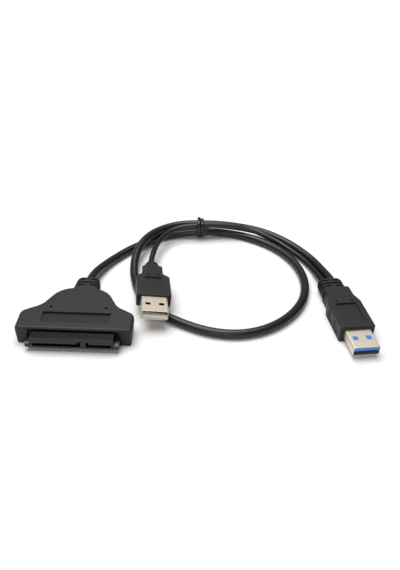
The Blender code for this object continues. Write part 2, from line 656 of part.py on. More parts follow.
def usb3_plug():
    """USB 3.0 plug, lying with its blue tongue uppermost."""
    holder = plug_empty("usb3_place", USB3_PLACE, (0.0, 0.0, USB3_YAW))
    half = USB3_WIDTH / 2
    right = [(half, 0.0, 0.6 * MM, 2), (half, 19.6 * MM, 1.6 * MM, 2), (6.3 * MM, 24.6 * MM, 1.5 * MM, 2),
             (6.2 * MM, 31.8 * MM, 1.6 * MM, 3)]
    part = plug_overmould("usb3_overmould", holder, right, USB3_HEIGHT,
                          (4.9 * MM, 4.4 * MM, 18.0 * MM), (-3.6 * MM, 3.8 * MM))
    ringed_relief(part, (USB3_RELIEF_X, 0.0), USB3_RELIEF, USB3_GROOVES)
    entries = [(USB3_MAIN_X, MAIN_DIAMETER / 2 + ENTRY_GAP), (USB3_POWER_X, POWER_DIAMETER / 2 + ENTRY_GAP)]
    plug_hollow(part, (4.6 * MM, 2.1 * MM, 34.6 * MM, 41.4 * MM), entries)
    usb_shell("usb3_shell", holder, USB3_WINDOW_Y)
    usb_insulator("usb3_tongue", holder, BLUE, 1)
    usb_contacts("usb3_contact", holder, 1, (-3.5, -1.0, 1.0, 3.5), SHELL_TIP_Y + 2.0 * MM, 5.0 * MM)
    usb_contacts("usb3_rear_contact", holder, 1, (-4.0, -2.0, 0.0, 2.0, 4.0), SHELL_TIP_Y + 7.6 * MM,
                 2.0 * MM, 0.4 * MM)
    conductors("usb3_conductors", (0.0, 0.0), (3.4 * MM, 1.6 * MM), 9, (6.8 * MM, 34.3 * MM), holder)


def usb2_plug():
    """USB 2.0 plug, propped on the cord loop and tipped a little to one side."""
    holder = plug_empty("usb2_place", USB2_PLACE, USB2_TURN)
    half = USB2_WIDTH / 2
    right = [(half, 0.0, 0.6 * MM, 2), (half, 17.2 * MM, 1.4 * MM, 2), (4.9 * MM, 19.9 * MM, 0.8 * MM, 2),
             (4.9 * MM, 27.6 * MM, 1.4 * MM, 3)]
    part = plug_overmould("usb2_overmould", holder, right, USB2_HEIGHT,
                          (4.0 * MM, 5.0 * MM, 16.4 * MM), (-2.3 * MM, 2.6 * MM))
    ringed_relief(part, (0.0, 0.0), USB2_RELIEF, USB2_GROOVES)
    plug_hollow(part, (2.2 * MM, 1.5 * MM, 28.4 * MM, 34.5 * MM),
                [(0.0, POWER_DIAMETER / 2 + ENTRY_GAP)])
    usb_shell("usb2_shell", holder, USB2_WINDOW_Y)
    usb_insulator("usb2_tongue", holder, WHITE, -1)
    usb_contacts("usb2_contact", holder, -1, (-3.5, -1.0, 1.0, 3.5), SHELL_TIP_Y + 1.4 * MM, 7.4 * MM)
    conductors("usb2_conductors", (0.0, 0.0), (1.5 * MM, 0.9 * MM), 2, (6.8 * MM, 28.1 * MM), holder)


def sata_head():
    sata_housing()
    sata_connector_body()
    for group, places in zip(("power", "signal"), contact_places()):
        for index, x in enumerate(places):
            socket_contact(f"sata_{group}_contact_{index + 1:02d}", x)
    circuit_board()
    on_board("bridge_chip", 1.0, -2.6, (9.0, 9.0, 1.2), EPOXY)
    on_board("crystal", 10.4, -3.8, (5.0, 3.2, 1.0), TIN)
    on_board("inductor", -9.0, -4.2, (4.0, 4.0, 2.0), EPOXY)
    on_board("regulator", -8.4, 1.4, (2.9, 1.6, 1.1), EPOXY)
    for index, (x, y) in enumerate(((-14.6, -8.9), (8.4, 0.8), (8.4, 2.8))):
        on_board(f"capacitor_{index + 1}", x, y, (1.6, 0.8, 0.8), CERAMIC)
    for index, (x, y) in enumerate(((-4.0, 4.0), (5.2, 4.6))):
        on_board(f"resistor_{index + 1}", x, y, (1.0, 0.5, 0.4), EPOXY)
    middle = (MAIN_ROUTE[0][0] * MM, MAIN_ROUTE[0][2] * MM)
    conductors("head_conductors", middle, (1.75 * MM, 1.75 * MM), 7, (6.2 * MM, 17.7 * MM))


main_points = smooth_curve(MAIN_ROUTE, MAIN_SPACING)
power_points = smooth_curve(POWER_ROUTE, POWER_SPACING)
sata_head()
usb3_plug()
usb2_plug()
cord("main_cable", main_points, MAIN_DIAMETER, 4, BLACK_PVC)
cord("power_cable", power_points, POWER_DIAMETER, 2, BLACK_PVC)
cable_tie(main_points, power_points)
bpy.context.view_layer.update()
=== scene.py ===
import math

import bmesh
import bpy
import numpy as np
from mathutils import Euler, Matrix, Vector


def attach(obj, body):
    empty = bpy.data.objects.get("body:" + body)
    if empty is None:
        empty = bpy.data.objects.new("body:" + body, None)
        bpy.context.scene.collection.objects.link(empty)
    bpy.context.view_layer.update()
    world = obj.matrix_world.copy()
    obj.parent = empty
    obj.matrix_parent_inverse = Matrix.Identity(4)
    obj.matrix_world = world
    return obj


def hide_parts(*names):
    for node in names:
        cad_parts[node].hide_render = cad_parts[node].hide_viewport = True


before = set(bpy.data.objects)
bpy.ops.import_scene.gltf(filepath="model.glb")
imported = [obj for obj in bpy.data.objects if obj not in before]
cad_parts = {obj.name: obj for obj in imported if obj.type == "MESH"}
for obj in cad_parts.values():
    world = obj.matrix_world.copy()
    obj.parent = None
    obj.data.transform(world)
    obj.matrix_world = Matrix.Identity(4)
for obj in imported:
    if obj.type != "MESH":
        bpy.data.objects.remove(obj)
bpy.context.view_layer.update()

mm = 0.001
scene = bpy.context.scene


def hexColour(code):
    # sRGB hex to linear RGBA
    linear = []
    for start in (0, 2, 4):
        value = int(code[start:start + 2], 16) / 255
        linear.append(value / 12.92 if value <= 0.04045 else ((value + 0.055) / 1.055) ** 2.4)
    return (*linear, 1.0)


def addNode(tree, kind, inputs=None, **settings):
    # adds a node; an input is a value, or an output socket to link from
    node = tree.nodes.new(kind)
    for name, value in settings.items():
        setattr(node, name, value)
    for name, value in (inputs or {}).items():
        if isinstance(value, bpy.types.NodeSocket):
            tree.links.new(value, node.inputs[name])
        else:
            node.inputs[name].default_value = value
    return node


def newMaterial(name, **fixed):
    material = bpy.data.materials.new(name)
    material.use_nodes = True
    shader = material.node_tree.nodes["Principled BSDF"]
    for socket, value in fixed.items():
        shader.inputs[socket].default_value = value
    return material, material.node_tree, shader


# the camera was fitted to the photograph with the outlines of the head, the cords and both plugs
cameraSetup = {
    "place": (51.73, -232.89, 179.77),      # millimetres
    "forward": (0.0074, 0.8263, -0.5632),
    "right": (0.9994, 0.0133, 0.0329),
    "focalPixels": 638.6,
    "imageHeight": 570,
}


def buildCamera():
    data = bpy.data.cameras.new("photoCamera")
    data.sensor_fit = "AUTO"
    data.sensor_width = 36.0
    data.lens = cameraSetup["focalPixels"] * data.sensor_width / cameraSetup["imageHeight"]
    data.clip_start = 0.01
    camera = bpy.data.objects.new("photoCamera", data)
    scene.collection.objects.link(camera)
    forward = Vector(cameraSetup["forward"]).normalized()
    right = Vector(cameraSetup["right"])
    right = (right - right.dot(forward) * forward).normalized()
    up = right.cross(forward)
    turn = Matrix((right, up, -forward)).transposed().to_4x4()
    camera.matrix_world = Matrix.Translation(Vector(cameraSetup["place"]) * mm) @ turn
    scene.camera = camera


# the thick cord runs from the head round the loop to the USB 3.0 plug, the thin one from there
# to the USB 2.0 plug; the routes' points are in millimetres
cordSetup = {
    "mainDiameter": 4.2 * mm,
    "powerDiameter": 2.9 * mm,
    "step": 1.6 * mm,
    "mainSides": 28,
    "powerSides": 22,
}
mainRoute = [
    (0.3, 18, 4.4), (0.5, 25, 4.4), (1.5, 30.9, 4.05), (4.1, 39.1, 3.1), (11.9, 52.9, 2.2),
    (14.9, 56.9, 2.2), (22.1, 64.8, 2.2), (30.3, 72.1, 2.2), (38.9, 76.8, 2.2), (47.8, 78.4, 2.9),
    (55.6, 78.5, 3.6), (65.7, 80.1, 2.5), (79.1, 76.8, 2.2), (87.7, 71.7, 2.2), (96.8, 62.8, 2.2),
    (103.3, 51, 2.2), (106.3, 36.5, 2.2), (104, 19, 2.2), (94, 2.2, 2.2), (83.5, -6.2, 2.2),
    (71.5, -10.1, 2.2), (57.5, -8.6, 2.2), (43.2, -1.7, 2.2), (31, 7.9, 2.2), (24.5, 20.7, 2.2),
    (20.6, 38, 3.3), (21.1, 52.3, 5.6), (26.9, 67.4, 6.8), (34.5, 75.7, 6.7), (43.2, 80.1, 6.8),
    (52.1, 81, 7.1), (61, 81.5, 6.9), (74.6, 81.9, 5.6), (88, 79.6, 4.1), (98.8, 73.4, 2.9),
    (108.6, 62.1, 2.3), (113.8, 52.5, 2.3), (117.1, 41.6, 3.3), (118.85, 35, 3.95), (120.4, 26.3, 4),
]
powerRoute = [
    (116.2, 25.6, 4), (115.55, 29.9, 4), (114.6, 34.5, 3.8), (112, 46.5, 2.2), (107.9, 56.2, 2),
    (102.3, 64.2, 2.3), (96.3, 70.2, 3.3), (90.9, 73.3, 4.6), (86.5, 75.5, 5.6), (81, 77.9, 6.4),
    (74.3, 78.5, 7.5), (65.4, 77.9, 8.3), (56.5, 76.7, 8.7), (52.1, 76, 8.7), (47.7, 75.5, 8.4),
    (43.3, 74.7, 8), (38.2, 72.3, 7.3), (34, 66.5, 6.9), (31.6, 61.3, 6.6), (30, 54.2, 6.4),
    (29.2, 46.3, 6.2), (28.95, 41.9, 5.8), (29.17, 38.83, 5.9), (29.39, 36.85, 6.01),
    (29.73, 33.87, 6.19),
]


def smoothCurve(route, step):
    # natural cubic curve through the route's points, read at even steps
    points = np.array(route) * mm
    knots = np.concatenate(([0.0], np.cumsum(np.linalg.norm(np.diff(points, axis=0), axis=1))))
    widths = np.diff(knots)
    count = len(points)
    system = np.eye(count)
    rise = np.zeros_like(points)
    for i in range(1, count - 1):
        system[i, i - 1:i + 2] = (widths[i - 1], 2 * (widths[i - 1] + widths[i]), widths[i])
        ahead = (points[i + 1] - points[i]) / widths[i]
        behind = (points[i] - points[i - 1]) / widths[i - 1]
        rise[i] = 6 * (ahead - behind)
    bend = np.linalg.solve(system, rise)
    samples = []
    for at in np.linspace(0.0, knots[-1], round(knots[-1] / step) + 1):
        i = min(int(np.searchsorted(knots, at, side="right")) - 1, count - 2)
        width, near, far = widths[i], knots[i + 1] - at, at - knots[i]
        samples.append((bend[i] * near ** 3 + bend[i + 1] * far ** 3) / (6 * width)
                       + (points[i] / width - bend[i] * width / 6) * near
                       + (points[i + 1] / width - bend[i + 1] * width / 6) * far)
    return [Vector(sample) for sample in samples]


def sweepTube(name, path, radius, sides):
    # round tube with a UV map: u round it and v along it, both in centimetres
    last = len(path) - 1
    tangents = [(path[min(i + 1, last)] - path[max(i - 1, 0)]).normalized() for i in range(len(path))]
    side = tangents[0].cross(Vector((0, 0, 1))).normalized()
    bm = bmesh.new()
    uvLayer = bm.loops.layers.uv.new("UVMap")
    rings = []
    along = [0.0]
    for i, (point, tangent) in enumerate(zip(path, tangents)):
        side = (side - side.dot(tangent) * tangent).normalized()
        up = side.cross(tangent)
        ring = []
        for k in range(sides):
            angle = math.tau * k / sides
            ring.append(bm.verts.new(point + radius * (math.cos(angle) * side + math.sin(angle) * up)))
        rings.append(ring)
        if i:
            along.append(along[-1] + (point - path[i - 1]).length)
    for i in range(len(rings) - 1):
        for k in range(sides):
            face = bm.faces.new((rings[i][k], rings[i][(k + 1) % sides],
                                 rings[i + 1][(k + 1) % sides], rings[i + 1][k]))
            corners = ((k, i), (k + 1, i), (k + 1, i + 1), (k, i + 1))
            for loop, (around, station) in zip(face.loops, corners):
                loop[uvLayer].uv = (math.tau * radius * around / sides * 100, along[station] * 100)
    bm.faces.new(rings[0])
    bm.faces.new(rings[-1])
    return meshObject(name, bm)


def meshObject(name, bm, smoothAngle=38.0):
    bmesh.ops.recalc_face_normals(bm, faces=bm.faces)
    data = bpy.data.meshes.new(name)
    bm.to_mesh(data)
    bm.free()
    data.shade_smooth()
    data.set_sharp_from_angle(angle=math.radians(smoothAngle))
    piece = bpy.data.objects.new(name, data)
    scene.collection.objects.link(piece)
    return piece


def bakeModifiers(piece):
    # the evaluated mesh takes the place of the piece's own, and the modifiers go
    bpy.context.view_layer.update()
    evaluated = piece.evaluated_get(bpy.context.evaluated_depsgraph_get())
    data = bpy.data.meshes.new_from_object(evaluated)
    piece.modifiers.clear()
    piece.data = data
    return piece


def carve(piece, operation, bm):
    # one Boolean with a throw-away tool
    tool = meshObject("tool", bm)
    modifier = piece.modifiers.new("carve", "BOOLEAN")
    modifier.operation = operation
    modifier.solver = "EXACT"
    modifier.object = tool
    bakeModifiers(piece)
    bpy.data.objects.remove(tool)


def softenEdges(piece, width, segments=3, angle=32.0):
    modifier = piece.modifiers.new("softEdges", "BEVEL")
    modifier.width = width
    modifier.segments = segments
    modifier.limit_method = "ANGLE"
    modifier.angle_limit = math.radians(angle)
    modifier.use_clamp_overlap = True
    bakeModifiers(piece)
    piece.data.shade_smooth()
    piece.data.set_sharp_from_angle(angle=math.radians(50))
    shading = piece.modifiers.new("flatFaces", "WEIGHTED_NORMAL")
    shading.weight = 50
    shading.keep_sharp = True
    bakeModifiers(piece)


def addBox(bm, size, centre):
    place = Matrix.Translation(Vector(centre) * mm)
    bmesh.ops.create_cube(bm, size=1.0, matrix=place @ Matrix.Diagonal((*(Vector(size) * mm), 1.0)))
    return bm


def addRod(bm, radius, depth, centre, axis="Z", sides=24):
    turns = {"Y": Matrix.Rotation(math.pi / 2, 4, "X"), "Z": Matrix.Identity(4)}
    place = Matrix.Translation(Vector(centre) * mm) @ turns[axis]
    bmesh.ops.create_cone(bm, cap_ends=True, segments=sides, radius1=radius * mm, radius2=radius * mm,
                          depth=depth * mm, matrix=place)
    return bm


def roundedOutline(corners):
    # (x, y, radius, segments) corners to points, an arc in place of each corner
    points = []
    for index, (x, y, radius, segments) in enumerate(corners):
        here = np.array((x, y), dtype=float)
        before = np.array(corners[index - 1][:2]) - here
        after = np.array(corners[(index + 1) % len(corners)][:2]) - here
        before = before / np.linalg.norm(before)
        after = after / np.linalg.norm(after)
        if radius <= 0:
            points.append((x, y))
            continue
        half = math.acos(np.clip(before @ after, -1, 1)) / 2
        bisector = (before + after) / np.linalg.norm(before + after)
        centre = here + bisector * radius / math.sin(half)
        start = here + before * radius / math.tan(half) - centre
        end = here + after * radius / math.tan(half) - centre
        sweep = math.atan2(start[0] * end[1] - start[1] * end[0], start @ end)
        for step in range(segments + 1):
            angle = sweep * step / segments
            points.append((centre[0] + math.cos(angle) * start[0] - math.sin(angle) * start[1],
                           centre[1] + math.sin(angle) * start[0] + math.cos(angle) * start[1]))
    return points


def mirrored(rightSide):
    return rightSide + [(-x, *rest) for x, *rest in reversed(rightSide)]


def insetOutline(points, distance):
    # every edge moved inwards by the same distance, whichever way the outline runs
    loop = np.array(points)
    edges = np.roll(loop, -1, axis=0) - loop
    edges = edges / np.linalg.norm(edges, axis=1)[:, None]
    normals = np.stack((-edges[:, 1], edges[:, 0]), axis=1)
    area = np.sum(loop[:, 0] * np.roll(loop[:, 1], -1) - loop[:, 1] * np.roll(loop[:, 0], -1))
    corner = normals + np.roll(normals, 1, axis=0)
    corner = corner / np.sum(corner * normals, axis=1)[:, None]
    return loop + distance * math.copysign(1.0, area) * corner


def addLoft(bm, rings, closed=False):
    # rings in millimetres, with equal point counts; closed joins the last to the first
    loops = [[bm.verts.new(Vector(point) * mm) for point in ring] for ring in rings]
    pairs = list(zip(loops, loops[1:]))
    if closed:
        pairs.append((loops[-1], loops[0]))
    for lower, upper in pairs:
        for index in range(len(lower)):
            after = (index + 1) % len(lower)
            bm.faces.new((lower[index], lower[after], upper[after], upper[index]))
    if not closed:
        bm.faces.new(loops[0])
        bm.faces.new(loops[-1])
    return bm


def edgeLevels(low, high, bottomRadius, topRadius, steps=6):
    # (height, inset) pairs of a slab whose rims are quarter rounds
    levels = []
    for step in range(steps + 1):
        angle = math.pi / 2 * step / steps
        levels.append((low + bottomRadius * (1 - math.cos(angle)), bottomRadius * (1 - math.sin(angle))))
    for step in range(steps + 1):
        angle = math.pi / 2 * step / steps
        levels.append((high - topRadius * (1 - math.sin(angle)), topRadius * (1 - math.cos(angle))))
    return levels


def slab(outline, levels):
    rings = []
    for height, inset in levels:
        loop = insetOutline(outline, inset) if inset else outline
        rings.append([(x, y, height) for x, y in loop])
    return addLoft(bmesh.new(), rings)


def roundedSection(halfWidth, halfHeight, radius, segments=9):
    radius = min(radius, 0.94 * halfWidth, 0.94 * halfHeight)
    corners = [(halfWidth, -halfHeight), (halfWidth, halfHeight),
               (-halfWidth, halfHeight), (-halfWidth, -halfHeight)]
    return roundedOutline([(x, z, radius, segments) for x, z in corners])


# cord reliefs, in millimetres: the grooves' cross-section is given on one flank, as (depth, offset along
# the relief), and is wider below its lip so that it reads dark
reliefCut = {
    "flank": [(1.25, -0.55), (0.5, -0.62), (0.22, -0.5), (0.0, -0.6), (-0.9, -0.72)],
    "corner": 2.4,
    "bridgeLength": 1.3,
    "bridgeInset": 0.1,
    "sleeveStep": 0.4,
}


def ringedRelief(piece, look, centre):
    # tapered sleeve along Y with ring grooves; a split ring is bridged on its broad faces,
    # any other at its sides
    rings = []
    for station in smoothCurve(look["sleeve"], reliefCut["sleeveStep"] * mm):
        y, halfWidth, halfHeight, radius = station / mm
        section = roundedSection(halfWidth, halfHeight, radius)
        rings.append([(x + centre[0], y, z + centre[1]) for x, z in section])
    carve(piece, "UNION", addLoft(bmesh.new(), rings))
    flank = reliefCut["flank"]
    profile = flank + [(lost, -offset) for lost, offset in reversed(flank)]
    for y, halfWidth, halfHeight, split in look["grooves"]:
        band = []
        for lost, offset in profile:
            section = roundedSection(halfWidth - lost, halfHeight - lost, reliefCut["corner"] - lost)
            band.append([(x + centre[0], y + offset, z + centre[1]) for x, z in section])
        carve(piece, "DIFFERENCE", addLoft(bmesh.new(), band, closed=True))
        reachX, reachZ = halfWidth - reliefCut["bridgeInset"], halfHeight - reliefCut["bridgeInset"]
        across, upright = (look["bridge"], 2 * reachZ) if split else (2 * reachX, look["bridge"] / 2)
        bridge = addBox(bmesh.new(), (across, reliefCut["bridgeLength"], upright), (centre[0], y, centre[1]))
        carve(piece, "UNION", bridge)


pvcLook = {"colour": "232324", "roughness": 0.48, "gloss": 0.36, "grain": 0.22 * mm, "bump": 0.16}
jacketLook = {"colour": "0c0c0d", "roughness": 0.34, "lineWidth": 0.5 * mm, "bump": 0.10}
nickelLook = {"colour": "ece0cf", "roughness": 0.45, "scratchWidth": 0.12 * mm}


def shaded(base, amount):
    return (*(channel * amount for channel in base[:3]), 1.0)


def mouldedPvc(name, look):
    # overmoulded soft PVC: fine spark-eroded grain from the mould, drawn about twice its real 0.1 mm
    fixed = {"Metallic": 0.0, "IOR": 1.53, "Specular IOR Level": look["gloss"]}
    material, tree, shader = newMaterial(name, **fixed)
    place = addNode(tree, "ShaderNodeTexCoord").outputs["Object"]
    grain = addNode(tree, "ShaderNodeTexNoise", {"Vector": place, "Scale": 1 / look["grain"],
                                                 "Detail": 3.0})
    cloud = addNode(tree, "ShaderNodeTexNoise", {"Vector": place, "Scale": 90.0, "Detail": 3.0})
    base = hexColour(look["colour"])
    tint = addNode(tree, "ShaderNodeMix", {0: cloud.outputs["Fac"], 6: shaded(base, 0.88),
                                           7: shaded(base, 1.14)}, data_type="RGBA").outputs[2]
    rough = addNode(tree, "ShaderNodeMapRange", {"Value": cloud.outputs["Fac"],
                                                 "To Min": look["roughness"] - 0.05,
                                                 "To Max": look["roughness"] + 0.06})
    bump = addNode(tree, "ShaderNodeBump", {"Height": grain.outputs["Fac"], "Strength": look["bump"],
                                            "Distance": 0.05 * mm})
    tree.links.new(tint, shader.inputs["Base Color"])
    tree.links.new(rough.outputs["Result"], shader.inputs["Roughness"])
    tree.links.new(bump.outputs["Normal"], shader.inputs["Normal"])
    return material


def extrudedJacket(name, look):
    # extruded PVC jacket: satin, with faint drawn lines that follow the cord
    material, tree, shader = newMaterial(name, Metallic=0.0, IOR=1.53)
    along = addNode(tree, "ShaderNodeUVMap", uv_map="UVMap").outputs["UV"]
    stretched = addNode(tree, "ShaderNodeMapping", {"Vector": along, "Scale": (1.0, 0.02, 1.0)})
    lines = addNode(tree, "ShaderNodeTexNoise", {"Vector": stretched.outputs["Vector"],
                                                 "Scale": 0.01 / look["lineWidth"], "Detail": 2.0})
    patches = addNode(tree, "ShaderNodeTexNoise", {"Vector": along, "Scale": 0.7, "Detail": 4.0})
    base = hexColour(look["colour"])
    tint = addNode(tree, "ShaderNodeMix", {0: patches.outputs["Fac"], 6: shaded(base, 0.85),
                                           7: shaded(base, 1.2)}, data_type="RGBA").outputs[2]
    rough = addNode(tree, "ShaderNodeMapRange", {"Value": patches.outputs["Fac"],
                                                 "To Min": look["roughness"] - 0.07,
                                                 "To Max": look["roughness"] + 0.09})
    bump = addNode(tree, "ShaderNodeBump", {"Height": lines.outputs["Fac"], "Strength": look["bump"],
                                            "Distance": 0.1 * mm})
    tree.links.new(tint, shader.inputs["Base Color"])
    tree.links.new(rough.outputs["Result"], shader.inputs["Roughness"])
    tree.links.new(bump.outputs["Normal"], shader.inputs["Normal"])
    return material


def nickelPlate(name, look):
    # bright nickel over stamped steel: warm white metal with fine rolling lines along the strip
    material, tree, shader = newMaterial(name, Metallic=1.0)
    place = addNode(tree, "ShaderNodeTexCoord").outputs["Object"]
    stretched = addNode(tree, "ShaderNodeMapping", {"Vector": place, "Scale": (1.0, 0.05, 1.0)})
    lines = addNode(tree, "ShaderNodeTexNoise", {"Vector": stretched.outputs["Vector"],
                                                 "Scale": 1 / look["scratchWidth"], "Detail": 2.0})
    cloud = addNode(tree, "ShaderNodeTexNoise", {"Vector": place, "Scale": 350.0, "Detail": 3.0})
    base = hexColour(look["colour"])
    tint = addNode(tree, "ShaderNodeMix", {0: cloud.outputs["Fac"], 6: shaded(base, 0.95),
                                           7: shaded(base, 1.03)}, data_type="RGBA").outputs[2]
    rough = addNode(tree, "ShaderNodeMapRange", {"Value": lines.outputs["Fac"],
                                                 "To Min": look["roughness"] - 0.06,
                                                 "To Max": look["roughness"] + 0.10})
    bump = addNode(tree, "ShaderNodeBump", {"Height": lines.outputs["Fac"], "Strength": 0.05,
                                            "Distance": 0.02 * mm})
    tree.links.new(tint, shader.inputs["Base Color"])
    tree.links.new(rough.outputs["Result"], shader.inputs["Roughness"])
    tree.links.new(bump.outputs["Normal"], shader.inputs["Normal"])
    return material


def plainMoulding(name, colour, roughness, grain=0.3 * mm, metallic=0.0, spread=0.10, topShade=1.0,
                  shadeFrom=-1.0):
    # a hard moulded or plated surface with slight unevenness in colour and gloss;
    # topShade paints shade: it darkens upward faces where Y is past shadeFrom, as the shell shades a tongue
    fixed = {"Metallic": metallic} if metallic else {"Metallic": 0.0, "IOR": 1.5}
    material, tree, shader = newMaterial(name, **fixed)
    place = addNode(tree, "ShaderNodeTexCoord").outputs["Object"]
    cloud = addNode(tree, "ShaderNodeTexNoise", {"Vector": place, "Scale": 400.0, "Detail": 3.0})
    fine = addNode(tree, "ShaderNodeTexNoise", {"Vector": place, "Scale": 1 / grain, "Detail": 2.0})
    base = hexColour(colour)
    tint = addNode(tree, "ShaderNodeMix", {0: cloud.outputs["Fac"], 6: shaded(base, 1 - spread),
                                           7: shaded(base, 1 + spread)}, data_type="RGBA").outputs[2]
    rough = addNode(tree, "ShaderNodeMapRange", {"Value": cloud.outputs["Fac"], "To Min": roughness - 0.04,
                                                 "To Max": roughness + 0.05})
    bump = addNode(tree, "ShaderNodeBump", {"Height": fine.outputs["Fac"], "Strength": 0.06,
                                            "Distance": 0.03 * mm})
    # painted shade: the upward faces past shadeFrom get a darker copy of the colour
    if topShade < 1.0:
        normal = addNode(tree, "ShaderNodeNewGeometry").outputs["Normal"]
        facing = addNode(tree, "ShaderNodeSeparateXYZ", {"Vector": normal})
        upward = addNode(tree, "ShaderNodeMath", {0: facing.outputs["Z"], 1: 0.8}, operation="GREATER_THAN")
        spot = addNode(tree, "ShaderNodeSeparateXYZ", {"Vector": place})
        inside = addNode(tree, "ShaderNodeMath", {0: spot.outputs["Y"], 1: shadeFrom},
                         operation="GREATER_THAN")
        both = addNode(tree, "ShaderNodeMath", {0: upward.outputs[0], 1: inside.outputs[0]},
                       operation="MULTIPLY")
        tint = addNode(tree, "ShaderNodeMix", {0: both.outputs[0], 6: tint, 7: shaded(base, topShade)},
                       data_type="RGBA").outputs[2]
    tree.links.new(tint, shader.inputs["Base Color"])
    tree.links.new(rough.outputs["Result"], shader.inputs["Roughness"])
    tree.links.new(bump.outputs["Normal"], shader.inputs["Normal"])
    return material


pvc = mouldedPvc("mouldedBlackPvc", pvcLook)
jacket = extrudedJacket("extrudedBlackPvc", jacketLook)
nickel = nickelPlate("nickelPlatedSteel", nickelLook)
# hard glass-filled nylon, glossy from the mould, and the tie's coated wire with sharper glints
socketPlastic = plainMoulding("glassFilledBlackPlastic", "0e0e0f", 0.20)
tiePlastic = plainMoulding("glossyBlackTie", "0e0e0f", 0.16)
# thin gold over nickel: a warm, sharp mirror
gold = plainMoulding("goldPlatedContact", "e0b566", 0.24, metallic=1.0, spread=0.04)
# insulators moulded in even, satin colour; their upward faces inside the shell get painted shade
bluePlastic = plainMoulding("blueInsulator", "4a9fff", 0.38, spread=0.05, topShade=0.7)
whitePlastic = plainMoulding("whiteInsulator", "f6f4f0", 0.42, spread=0.02, topShade=0.03,
                             shadeFrom=-4.6 * mm)
# what the head holds: board, chips, can, chip capacitors and wires, each in its usual finish
laminate = plainMoulding("greenSolderMask", "12502c", 0.35)
epoxy = plainMoulding("blackChipResin", "1c1c1e", 0.5)
tin = plainMoulding("drawnTinCan", "b9b9b5", 0.32, metallic=1.0)
ceramic = plainMoulding("tanCeramic", "a98f68", 0.5)
insulation = plainMoulding("wireInsulation", "d8d4c8", 0.45)
print("materials ready")


def finish(piece, material, slot, *nodes):
    piece.data.materials.clear()
    piece.data.materials.append(material)
    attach(piece, "root")
    if nodes:
        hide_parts(*nodes)
    return piece


# lengths below are in millimetres
head = {
    "halfWidth": 25.3, "front": -18.9, "frontCorner": 1.5, "height": 9.0, "softEdge": 0.22,
    "bell": [(-6.5, 25.3, 4.0, 12), (-1.2, 17.1, 9.0, 12), (10.8, 11.3, 11.0, 16), (13.0, 3.5, 12.0, 6)],
    "topEdge": 1.25, "bottomEdge": 0.55, "bottomInset": 0.5,
    "partingHeight": 6.6, "draft": 0.08,        # the walls lean in by the draft above the parting line
    "mouth": (41.0, 3.0, 6.8), "mouthHeight": 4.6, "mouthTaper": 1.0,
    "cavity": [(-17.6, 20.8), (-7.6, 20.8), (-2.0, 14.6), (6.4, 11.6), (8.4, 5.0)],
    "cavityHeights": (1.5, 7.6),
    "window": (15.0, -14.6, -7.1, 0.95, 0.12),      # half width, front, back, depth at the back and front
    "pipX": 12.3, "pipY": -3.4, "pipRadius": 0.7, "pipDepth": 1.8,
    "cordX": 0.3, "cordZ": 4.4, "boreRadius": 2.12, "boreLength": 18.0, "boreMiddle": 16.0,
    "relief": {
        "sleeve": [(12.0, 6.3, 3.5, 2.6), (16.3, 6.2, 3.4, 2.6), (19.3, 5.9, 3.25, 2.6),
                   (22.8, 5.3, 3.05, 2.5), (23.4, 4.9, 2.8, 2.3), (23.75, 4.2, 2.5, 2.1)],
        "grooves": [(16.6, 6.25, 3.37, True), (19.0, 5.95, 3.26, False), (21.4, 5.55, 3.13, True)],
        "bridge": 2.4,
    },
}


def headOutline():
    # the bell's corners are (y, x, radius, segments), from the front to the cord
    right = [(head["halfWidth"], head["front"], head["frontCorner"], 6)]
    right += [(x, y, radius, steps) for y, x, radius, steps in head["bell"]]
    return roundedOutline(mirrored(right))


def labelWedge(half, front, back, depth, sill, top):
    # cutter for a label window that is deepest along its back edge and shallow at the front
    corners = [(half, front, -sill), (half, back, -depth), (-half, back, -depth), (-half, front, -sill)]
    return addLoft(bmesh.new(), [[(x, y, top + low) for x, y, low in corners],
                                 [(x, y, top + 1.0) for x, y, low in corners]])


def buildHousing():
    outline = headOutline()
    inset, parting, edge = head["bottomInset"], head["partingHeight"], head["topEdge"]
    bottomRim = edgeLevels(0.0, parting, head["bottomEdge"], 0.01, 4)[:5]
    levels = [(height, inset + lost) for height, lost in bottomRim]
    levels.append((parting, 0.0))
    draft = head["draft"]
    for step in range(9):
        angle = math.pi / 2 * step / 8
        levels.append((head["height"] - edge * (1 - math.sin(angle)),
                       draft + (edge - draft) * (1 - math.cos(angle))))
    piece = meshObject("sataHousing", slab(outline, levels))
    ringedRelief(piece, head["relief"], (head["cordX"], head["cordZ"]))
    carve(piece, "DIFFERENCE", labelWedge(*head["window"], head["height"]))
    pips = bmesh.new()
    for side in (-1, 1):
        addRod(pips, head["pipRadius"], 2 * head["pipDepth"],
               (side * head["pipX"], head["pipY"], head["height"]))
    carve(piece, "DIFFERENCE", pips)
    width, depth, height = head["mouth"]
    low, high = head["mouthHeight"] - height / 2, head["mouthHeight"] + height / 2
    half, taper = width / 2, head["mouthTaper"]
    rings = []
    for y in (head["front"] - depth / 2, head["front"] + depth / 2):
        rings.append([(half, y, low), (half - taper, y, high), (taper - half, y, high), (-half, y, low)])
    carve(piece, "DIFFERENCE", addLoft(bmesh.new(), rings))
    cavity = roundedOutline(mirrored([(x, y, 0, 0) for y, x in head["cavity"]]))
    carve(piece, "DIFFERENCE", slab(cavity, [(height, 0.0) for height in head["cavityHeights"]]))
    bore = addRod(bmesh.new(), head["boreRadius"], head["boreLength"],
                  (head["cordX"], head["boreMiddle"], head["cordZ"]), "Y", 48)
    carve(piece, "DIFFERENCE", bore)
    softenEdges(piece, head["softEdge"] * mm)
    return finish(piece, pvc, "moulded_pvc", "sata_housing")


